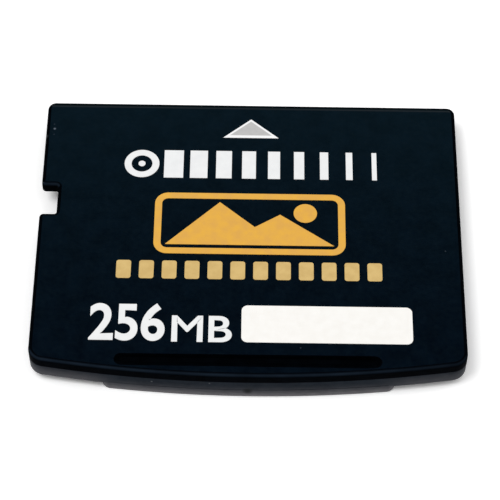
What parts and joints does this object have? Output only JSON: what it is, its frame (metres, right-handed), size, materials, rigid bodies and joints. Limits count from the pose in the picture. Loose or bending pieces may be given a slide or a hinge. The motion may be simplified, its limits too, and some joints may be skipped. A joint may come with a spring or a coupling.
{
  "type": "camera memory card",
  "caption": "Thin removable memory card for a camera, with a bowed trailing edge, finger groove, lock notch and a row of gold contacts.",
  "frame": {"origin": "under the middle of the card, at the bottom of the lip on its back", "axes": "+X across the card, to the right when the print reads upright; +Y towards the leading edge, which enters the camera first; +Z out of the printed face"},
  "size_m": [0.025, 0.02, 0.0021],
  "materials": {
    "face_plastic": "dark blue-black moulded plastic, satin face",
    "back_plastic": "charcoal moulded plastic, fine matt",
    "board": "dark green solder mask",
    "contact_gold": "plated gold, fine sliding marks",
    "silicon": "polished silicon",
    "chip_film": "cured film adhesive",
    "wire_gold": "drawn gold wire",
    "cap_resin": "black moulding resin",
    "bond_film": "pale double-sided film",
    "capacitor": "tan ceramic with tinned ends",
    "ink_white": "matt white ink that takes a pen",
    "ink_silver": "silver-grey ink with a white edge line",
    "ink_orange": "warm orange ink",
    "ink_sand": "paler orange ink"
  },
  "bodies": {
    "root": {"front_cover": "face_plastic", "back_cover": "back_plastic", "circuit_board": "board", "contact_01": "contact_gold", "contact_02": "contact_gold", "contact_03": "contact_gold", "contact_04": "contact_gold", "contact_05": "contact_gold", "contact_06": "contact_gold", "contact_07": "contact_gold", "contact_08": "contact_gold", "contact_09": "contact_gold", "contact_10": "contact_gold", "contact_11": "contact_gold", "contact_12": "contact_gold", "contact_13": "contact_gold", "contact_14": "contact_gold", "contact_15": "contact_gold", "contact_16": "contact_gold", "contact_17": "contact_gold", "contact_18": "contact_gold", "die_film": "chip_film", "memory_die": "silicon", "bond_wires": "wire_gold", "moulded_cap": "cap_resin", "bonding_film": "bond_film", "capacitor_1": "capacitor", "capacitor_2": "capacitor", "writing_panel": "ink_white", "arrow_mark": "ink_silver", "white_bars": "ink_white", "picture_sign": "ink_orange", "square_row": "ink_sand"}
  },
  "joints": []
}
